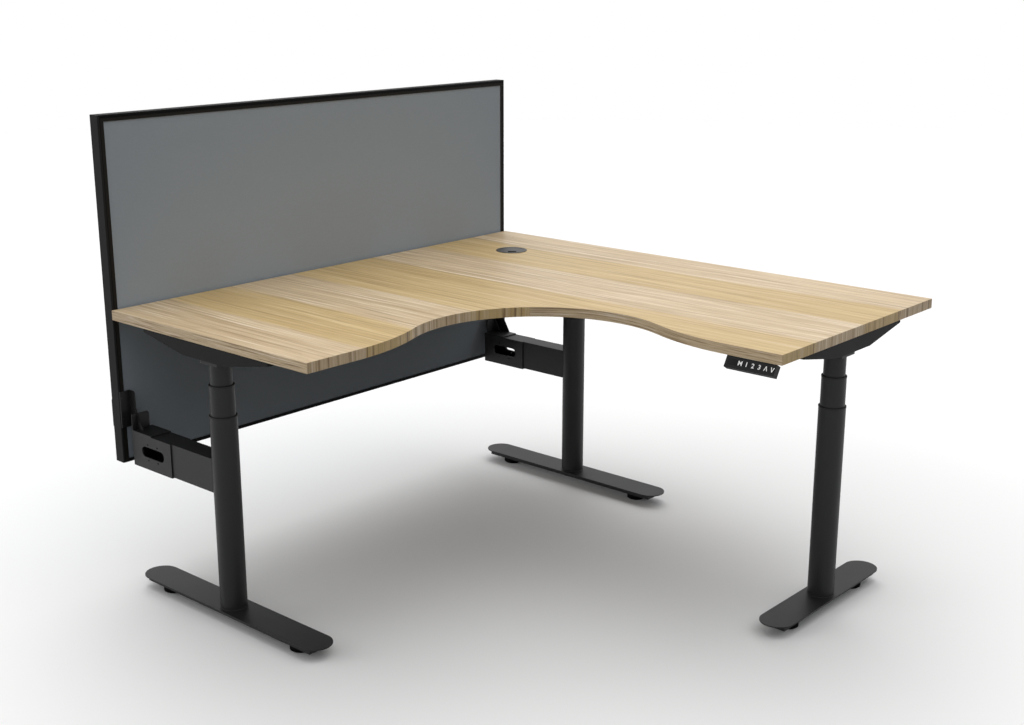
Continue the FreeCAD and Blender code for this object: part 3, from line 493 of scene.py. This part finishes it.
def add_button_head(shape, matrix, radius, height):
    """One screw head with a hexagon socket, closed underneath, standing on the local XY plane."""
    made = bmesh.ops.create_circle(shape, cap_ends=True, segments=24, radius=radius)["verts"]
    face = made[0].link_faces[0]
    if face.normal.z < 0:
        face.normal_flip()
    base = set(face.verts)
    for inset, rise in ((0.02, 0.45), (0.12, 0.3), (0.16, 0.17), (0.16, 0.08)):
        bmesh.ops.inset_region(shape, faces=[face], thickness=inset * radius, depth=rise * height)
    for vert in face.verts:
        angle = math.atan2(vert.co.y, vert.co.x)
        nearest = (angle + math.pi / 6) % (math.pi / 3) - math.pi / 6
        reach = radius * 0.42 / math.cos(nearest)
        vert.co.x, vert.co.y = reach * math.cos(angle), reach * math.sin(angle)
    bmesh.ops.inset_region(shape, faces=[face], thickness=0.01 * radius, depth=-0.55 * height)
    whole = set()
    front = list(base)
    while front:
        vert = front.pop()
        if vert not in whole:
            whole.add(vert)
            front += [edge.other_vert(vert) for edge in vert.link_edges]
    rim = {edge for vert in base for edge in vert.link_edges if len(edge.link_faces) == 1}
    bmesh.ops.holes_fill(shape, edges=list(rim))
    bmesh.ops.transform(shape, matrix=matrix, verts=list(whole))


def make_screws(name, places, radius, height, body, material):
    """A set of screws in one piece. Each place is a point and the way that its head looks."""
    shape = bmesh.new()
    for point, direction in places:
        add_button_head(shape, pose_at(point, direction), radius * MM, height * MM)
    return finish_piece(name, shape, material, body, smooth=35)


TAB_SCREW_Y, TAB_SCREW_Z = (-1489.8, -7.5), (459, 515.4)
tab_places = [(desk(-1, y, z), (1, 0, 0)) for y in TAB_SCREW_Y for z in TAB_SCREW_Z]
make_screws("tab_screws", tab_places, 3.8, 1.9, "stand", screw_black)

# %% Wood screws that hold the steelwork to the underside of the board
SUPPORT_SPOTS = [(along, across) for along in (-215, -150, 150, 215) for across in (-32, 32)]
CORNER_SPOTS = [(along, across) for along in (-125, -70, 125) for across in (-34, 34)]
RAIL_FOOT, DRIVE_FOOT = 700, 672
SUPPORT_SHEET, EAR_SHEET = 2.5, 3
EAR_HOLE, MOUNT_HOLE, MOUNT_BACK = 7, 24, 11.5
board_places = []
for column, (x, y) in COLUMNS.items():
    for along, across in (CORNER_SPOTS if column == "corner" else SUPPORT_SPOTS):
        step = (-across, along) if column == "right" else (along, across)
        board_places.append((desk(x + step[0], y + step[1], UNDERSIDE - SUPPORT_SHEET), (0, 0, -1)))
make_screws("support_screws", board_places, 4.5, 2.2, "desk", zinc_steel)
main_rail_x, cross_rail_y = COLUMNS["corner"][0], COLUMNS["right"][1]
rail_places = [(desk(main_rail_x, y, RAIL_FOOT), (0, 0, -1)) for y in (-1300, -1000, -560, -250)]
rail_places += [(desk(x, cross_rail_y, RAIL_FOOT), (0, 0, -1)) for x in (480, 760, 1040, 1320)]
make_screws("rail_screws", rail_places, 4.5, 2.2, "desk", zinc_steel)
box_low, box_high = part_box("control_box")
ear_places = [(Vector((x, (box_low.y + box_high.y) / 2, (UNDERSIDE - EAR_SHEET) * MM)), (0, 0, -1))
              for x in (box_low.x + EAR_HOLE * MM, box_high.x - EAR_HOLE * MM)]
case_low, case_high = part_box("handset_case")
ear_places += [(Vector((x, case_high.y - MOUNT_BACK * MM, (UNDERSIDE - EAR_SHEET) * MM)), (0, 0, -1))
               for x in (case_low.x + MOUNT_HOLE * MM, case_high.x - MOUNT_HOLE * MM)]
make_screws("ear_screws", ear_places, 4.2, 2.0, "desk", zinc_steel)
drive_places = []
for x, y in COLUMNS.values():
    for along in (-29, 29):
        for across in (-28, 28):
            drive_places.append((desk(x + along, y + across, DRIVE_FOOT), (0, 0, -1)))
make_screws("drive_screws", drive_places, 3.2, 1.8, "desk", screw_black)

# %% [markdown]
# The bracket at the corner carries one more plate, on the far side of its arm. Its outline is drawn as
# points in a plane, filled with one face, given its thickness by pushing that face sideways, and one
# corner is rounded.

# %% The outer gusset of the corner bracket
GUSSET = ((-1, 445), (22, 431.6), (76, 431.6), (43, 489), (43, 532), (-1, 532))
GUSSET_FACE, GUSSET_SHEET, GUSSET_CORNER = -67, 3, 8
gusset = bmesh.new()
rim = [bmesh.ops.create_vert(gusset, co=desk(x, GUSSET_FACE, z))["vert"][0] for x, z in GUSSET]
plate = bmesh.ops.contextual_create(gusset, geom=rim)["faces"]
raised = bmesh.ops.extrude_face_region(gusset, geom=plate)["geom"]
bmesh.ops.translate(gusset, vec=(0, GUSSET_SHEET * MM, 0),
                    verts=[item for item in raised if isinstance(item, bmesh.types.BMVert)])
round_x, round_z = GUSSET[4]
corner = [edge for edge in gusset.edges
          if all((vert.co - desk(round_x, 0, round_z)).xz.length < 1e-5 for vert in edge.verts)]
bmesh.ops.bevel(gusset, geom=corner, offset=GUSSET_CORNER * MM, segments=6, profile=0.5, affect="EDGES",
                material=-1)
print("open edges of the gusset:", sum(len(edge.link_faces) != 2 for edge in gusset.edges))
finish_piece("corner_gusset", gusset, powder_black, "stand", smooth=30)

# %% Weld beads at the foot of each column, and a lock nut over each levelling pad
FOOT_TOP, TUBE_RADIUS, BEAD_RADIUS = 35, 34, 1.4
PUDDLES, PUDDLE_DEPTH = 45, 0.008
NUT_SEAT, NUT_FLATS, NUT_BORE, NUT_HEIGHT = 15.2, 17, 10.6, 2.7


def add_bead(shape, centre, ring_radius, bead_radius):
    """A weld bead round a tube where it meets a plate."""
    section = bmesh.ops.create_circle(shape, segments=8, radius=bead_radius)["verts"]
    matrix = Matrix.Translation(centre + Vector((ring_radius, 0, 0))) @ Matrix.Rotation(math.pi / 2, 4, "X")
    bmesh.ops.transform(shape, matrix=matrix, verts=section)
    edges = list({edge for vert in section for edge in vert.link_edges})
    bmesh.ops.spin(shape, geom=section + edges, cent=centre, axis=(0, 0, 1), angle=2 * math.pi, steps=90,
                   use_merge=True)


beads = bmesh.new()
centres = [desk(x, y, FOOT_TOP) for x, y in COLUMNS.values()]
for centre in centres:
    add_bead(beads, centre, TUBE_RADIUS * MM, BEAD_RADIUS * MM)
for vert in beads.verts:
    centre = min(centres, key=lambda spot: (vert.co - spot).length)
    away = vert.co - centre
    puddle = 1 + PUDDLE_DEPTH * math.sin(PUDDLES * math.atan2(away.y, away.x))
    vert.co.x, vert.co.y = (centre + away * puddle)[:2]
finish_piece("column_welds", beads, powder_black, "stand", smooth=60)


def add_lock_nut(shape, centre, across_flats, bore, height):
    """A hexagon nut with its bore, standing on its centre point."""
    outer = bmesh.ops.create_circle(shape, segments=6, radius=across_flats / math.sqrt(3))["verts"]
    inner = bmesh.ops.create_circle(shape, segments=18, radius=bore / 2)["verts"]
    loops = list({edge for vert in outer + inner for edge in vert.link_edges})
    ring = bmesh.ops.bridge_loops(shape, edges=loops)["faces"]
    raised = bmesh.ops.extrude_face_region(shape, geom=ring)["geom"]
    raised = [item for item in raised if isinstance(item, bmesh.types.BMVert)]
    bmesh.ops.translate(shape, vec=(0, 0, height), verts=raised)
    bmesh.ops.translate(shape, vec=centre, verts=outer + inner + raised)


lock_nuts = bmesh.new()
for name in nodes:
    if name.endswith("_pad"):
        low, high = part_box(name)
        spot = Vector(((low.x + high.x) / 2, (low.y + high.y) / 2, NUT_SEAT * MM))
        add_lock_nut(lock_nuts, spot, NUT_FLATS * MM, NUT_BORE * MM, NUT_HEIGHT * MM)
finish_piece("lock_nuts", lock_nuts, zinc_steel, "stand", smooth=30)

# %% [markdown]
# ### The handset
#
# A thin bar leans back under the front edge. Its left end is a dark display that is off, and to its right
# are six keys: memory, three positions, up and down. The marks are printed in white. Letters start as
# text, are turned into a mesh and laid on the face of the key they belong to, so that each mark moves
# with its key; the arrows are two short strokes. The display is a thin pane with a rounded edge, set in
# the recess of the case.

# %% Where the face of the handset is
LEAN = math.atan2(25, 15)
FACE_CENTRE = (-756.0, 712.5)
FIRST_KEY_X, KEY_PITCH = 1394.4, 17
MARKS = (("key_memory", "M"), ("key_one", "1"), ("key_two", "2"), ("key_three", "3"),
         ("key_up", 1), ("key_down", -1))


def face_matrix(x, proud):
    """Local X runs along the bar, Y up its face and Z out of it; proud is in millimetres."""
    matrix = Matrix.Translation(desk(x, *FACE_CENTRE)) @ Matrix.Rotation(LEAN, 4, "X")
    return matrix @ Matrix.Translation((0, 0, proud * MM))


# %% Printed marks
MARK_HEIGHT, MARK_PROUD, INK_FILM = 11.4, 0.7, 0.08
STROKE, ARROW_REACH = 1.9, 3.8
LETTER_WEIGHT = 0.022


def make_print_finish():
    ink = Finish("white_print")
    specks = ink.noise(scale=2600.0, detail=2.0)
    ink.sockets(Base_Color=ink.blend(specks, (0.84, 0.84, 0.83, 1), (0.93, 0.93, 0.92, 1)),
                Roughness=ink.between(specks, 0.45, 0.6))
    return ink.material


white_print = make_print_finish()


def letter_shape(letter):
    """A printed letter, centred, with its height set and a film of ink thick."""
    curve = bpy.data.curves.new("mark", "FONT")
    curve.body, curve.size, curve.offset = letter, 1.0, LETTER_WEIGHT
    holder = bpy.data.objects.new("mark", curve)
    bpy.context.scene.collection.objects.link(holder)
    bpy.context.view_layer.update()
    mesh = bpy.data.meshes.new_from_object(holder.evaluated_get(bpy.context.evaluated_depsgraph_get()))
    bpy.data.objects.remove(holder)
    shape = bmesh.new()
    shape.from_mesh(mesh)
    bpy.data.meshes.remove(mesh)
    low = Vector([min(v.co[i] for v in shape.verts) for i in range(3)])
    high = Vector([max(v.co[i] for v in shape.verts) for i in range(3)])
    tall = MARK_HEIGHT * MM / (high.y - low.y)
    bmesh.ops.translate(shape, vec=-(low + high) / 2, verts=shape.verts)
    bmesh.ops.scale(shape, vec=(tall, tall, 1), verts=shape.verts)
    return shape


def arrow_shape(sign):
    """Two strokes that meet at a point: up for 1, down for -1."""
    shape = bmesh.new()
    half = MARK_HEIGHT * MM / 2
    for side in (-1, 1):
        foot = Vector((side * ARROW_REACH * MM, -sign * half, 0))
        tip = Vector((0, sign * half, 0))
        made = bmesh.ops.create_grid(shape, x_segments=1, y_segments=1, size=0.5)["verts"]
        run = tip - foot
        turn = Matrix.Rotation(math.atan2(run.y, run.x), 4, "Z")
        spread = Matrix.Diagonal((run.length, STROKE * MM, 1, 1))
        bmesh.ops.transform(shape, matrix=Matrix.Translation((foot + tip) / 2) @ turn @ spread, verts=made)
    return shape


for count, (key, mark) in enumerate(MARKS):
    shape = letter_shape(mark) if isinstance(mark, str) else arrow_shape(mark)
    bmesh.ops.solidify(shape, geom=list(shape.faces), thickness=INK_FILM * MM)
    on_key = face_matrix(FIRST_KEY_X + KEY_PITCH * count, MARK_PROUD)
    bmesh.ops.transform(shape, matrix=on_key, verts=shape.verts)
    body = next(name for name, group in frame["record"]["behaviour"]["bodies"].items() if key in group)
    finish_piece(key + "_mark", shape, white_print, body)

# %% The display pane
PANE_LONG, PANE_HIGH, PANE_THICK = 26.6, 14.6, 0.5
PANE_X, PANE_PROUD = 1374.5, -0.2
PANE_CORNER, PANE_RIM = 1.2, 0.15


def make_glass_finish():
    pane = Finish("smoked_pane")
    smear = pane.noise(scale=140.0, detail=3.0)
    pane.sockets(Base_Color=pane.blend(smear, (0.0085, 0.0085, 0.0092, 1), (0.012, 0.012, 0.0128, 1)),
                 Roughness=pane.between(smear, 0.12, 0.24), Specular_IOR_Level=0.12)
    return pane.material


pane = bmesh.new()
bmesh.ops.create_cube(pane, size=1.0)
bmesh.ops.scale(pane, vec=(PANE_LONG * MM, PANE_HIGH * MM, PANE_THICK * MM), verts=pane.verts)
corners = [edge for edge in pane.edges if abs(edge.verts[0].co.z - edge.verts[1].co.z) > 1e-6]
bmesh.ops.bevel(pane, geom=corners, offset=PANE_CORNER * MM, segments=4, profile=0.5,
                affect="EDGES", material=-1)
rim = [edge for edge in pane.edges if all(vert.co.z > 0 for vert in edge.verts)]
bmesh.ops.bevel(pane, geom=rim, offset=PANE_RIM * MM, segments=2, profile=0.5,
                affect="EDGES", material=-1)
bmesh.ops.transform(pane, matrix=face_matrix(PANE_X, PANE_PROUD), verts=pane.verts)
finish_piece("display_pane", pane, make_glass_finish(), "desk")

# %% [markdown]
# ## The studio
#
# The desk stands in a white studio. Its light comes from a faint even sky with seven soft pools in it,
# each given by its turn, its height above the horizon and its strength; they act like large lamps with
# cloth over them. The camera and glossy surfaces see the sky as plain white instead. The floor is a pale
# diffuse sheet that keeps the soft shadow. Near the desk it is painted darker, a painted shadow that
# deepens the real one; it grows paler away from the desk and fades into the white far out so that no
# horizon shows.

# %% World and floor
SKY_FLOOR, SKY_SPREAD = 0.06, 10.0
SKY_POOLS = (           # turn and height in degrees, strength
    (142, 45, 2.9),
    (225, 12, 2.9),
    (0, 90, 1.83),
    (22, 45, 0.97),
    (322, 45, 0.75),
    (82, 45, 0.63),
    (270, 12, 0.45),
)
FLOOR_RADIUS = 14
FLOOR_BOUNCE = 0.16                            # what the floor gives back to the object
# painted shadow: the floor that the camera sees is darker near the desk, deepening the shadow under it
FLOOR_SEEN_PAINTED_SHADE = (0.6, 1.8, 0.80, 0.95)            # from and to in metres, and the tone that is seen at each
FLOOR_FADE = (4.0, 12.0, 0.0, 1.0)             # the same for how clear it is


def make_world():
    world = bpy.data.worlds.new("studio")
    world.use_nodes = True
    bpy.context.scene.world = world
    tree = world.node_tree
    lit = tree.nodes["Background"]
    lit.inputs["Color"].default_value = (1, 1, 1, 1)
    seen = tree.nodes.new("ShaderNodeBackground")
    seen.inputs["Color"].default_value = (1, 1, 1, 1)
    path = tree.nodes.new("ShaderNodeLightPath")
    place = tree.nodes.new("ShaderNodeTexCoord")

    def step(operation, first, second):
        made = tree.nodes.new("ShaderNodeMath")
        made.operation = operation
        for socket, source in zip(made.inputs, (first, second)):
            if isinstance(source, bpy.types.NodeSocket):
                tree.links.new(source, socket)
            else:
                socket.default_value = source
        return made.outputs[0]

    total = SKY_FLOOR
    for turn, rise, strength in SKY_POOLS:
        aim = Vector((math.cos(math.radians(rise)), 0, math.sin(math.radians(rise))))
        aim.rotate(Matrix.Rotation(math.radians(turn), 3, "Z"))
        facing = tree.nodes.new("ShaderNodeVectorMath")
        facing.operation = "DOT_PRODUCT"
        tree.links.new(place.outputs["Generated"], facing.inputs[0])
        facing.inputs[1].default_value = aim
        ahead = step("MAXIMUM", facing.outputs["Value"], 0.0)
        pool = step("MULTIPLY", step("POWER", ahead, SKY_SPREAD), strength)
        total = step("ADD", pool, total)
    tree.links.new(total, lit.inputs["Strength"])
    plain = step("MAXIMUM", path.outputs["Is Camera Ray"], path.outputs["Is Transmission Ray"])
    plain = step("MAXIMUM", plain, path.outputs["Is Glossy Ray"])
    choose = tree.nodes.new("ShaderNodeMixShader")
    tree.links.new(plain, choose.inputs[0])
    tree.links.new(lit.outputs[0], choose.inputs[1])
    tree.links.new(seen.outputs[0], choose.inputs[2])
    tree.links.new(choose.outputs[0], tree.nodes["World Output"].inputs["Surface"])


def make_floor():
    pale = bpy.data.materials.new("studio_floor")
    pale.use_nodes = True
    tree = pale.node_tree
    tree.nodes.remove(tree.nodes["Principled BSDF"])
    path = tree.nodes.new("ShaderNodeLightPath")
    seen = tree.nodes.new("ShaderNodeMath")
    seen.operation = "MAXIMUM"
    tree.links.new(path.outputs["Is Camera Ray"], seen.inputs[0])
    tree.links.new(path.outputs["Is Glossy Ray"], seen.inputs[1])
    matt = tree.nodes.new("ShaderNodeBsdfDiffuse")
    tone = tree.nodes.new("ShaderNodeMix")
    tone.data_type = "RGBA"
    tree.links.new(seen.outputs[0], tone.inputs[0])
    tone.inputs[6].default_value = (FLOOR_BOUNCE,) * 3 + (1,)
    place = tree.nodes.new("ShaderNodeTexCoord")
    distance = tree.nodes.new("ShaderNodeVectorMath")
    distance.operation = "LENGTH"
    tree.links.new(place.outputs["Object"], distance.inputs[0])

    def ramp(near, far, low, high):
        made = tree.nodes.new("ShaderNodeMapRange")
        for name, value in (("From Min", near), ("From Max", far), ("To Min", low), ("To Max", high)):
            made.inputs[name].default_value = value
        tree.links.new(distance.outputs["Value"], made.inputs["Value"])
        return made.outputs[0]

    # painted shadow: the seen tone is darker near the desk
    tree.links.new(ramp(*FLOOR_SEEN_PAINTED_SHADE), tone.inputs[7])
    tree.links.new(tone.outputs[2], matt.inputs["Color"])
    fade = tree.nodes.new("ShaderNodeMath")
    fade.operation = "MULTIPLY"
    tree.links.new(ramp(*FLOOR_FADE), fade.inputs[0])
    tree.links.new(seen.outputs[0], fade.inputs[1])
    clear = tree.nodes.new("ShaderNodeBsdfTransparent")
    choose = tree.nodes.new("ShaderNodeMixShader")
    tree.links.new(fade.outputs[0], choose.inputs[0])
    tree.links.new(matt.outputs[0], choose.inputs[1])
    tree.links.new(clear.outputs[0], choose.inputs[2])
    tree.links.new(choose.outputs[0], tree.nodes["Material Output"].inputs["Surface"])
    shape = bmesh.new()
    bmesh.ops.create_circle(shape, cap_ends=True, segments=64, radius=FLOOR_RADIUS)
    mesh = bpy.data.meshes.new("studio_floor")
    shape.to_mesh(mesh)
    shape.free()
    floor = bpy.data.objects.new("studio_floor", mesh)
    bpy.context.scene.collection.objects.link(floor)
    floor.data.materials.append(pale)


make_world()
make_floor()

# %% [markdown]
# The camera stands in front of the desk and beyond the end of its right wing, at about the eye height of
# a standing person. It looks down at about sixteen degrees, with a 50 mm lens.

# %% Camera
CAMERA_PLACE = (3079.5, -3460.2, 1591.3)
LOOKS_DOWN, LOOKS_ROUND = 0.2724, 0.7221
camera = bpy.data.objects.new("camera", bpy.data.cameras.new("camera"))
bpy.context.scene.collection.objects.link(camera)
camera.location = desk(*CAMERA_PLACE)
camera.rotation_euler = (math.pi / 2 - LOOKS_DOWN, 0, LOOKS_ROUND)
camera.data.lens, camera.data.sensor_width = 50, 36
camera.data.shift_x, camera.data.shift_y = -0.0004, 0.0006
camera.data.clip_start, camera.data.clip_end = 0.05, 100
bpy.context.scene.camera = camera
bpy.context.scene.view_settings.view_transform = "Standard"
print("camera at", [round(v, 3) for v in camera.location])
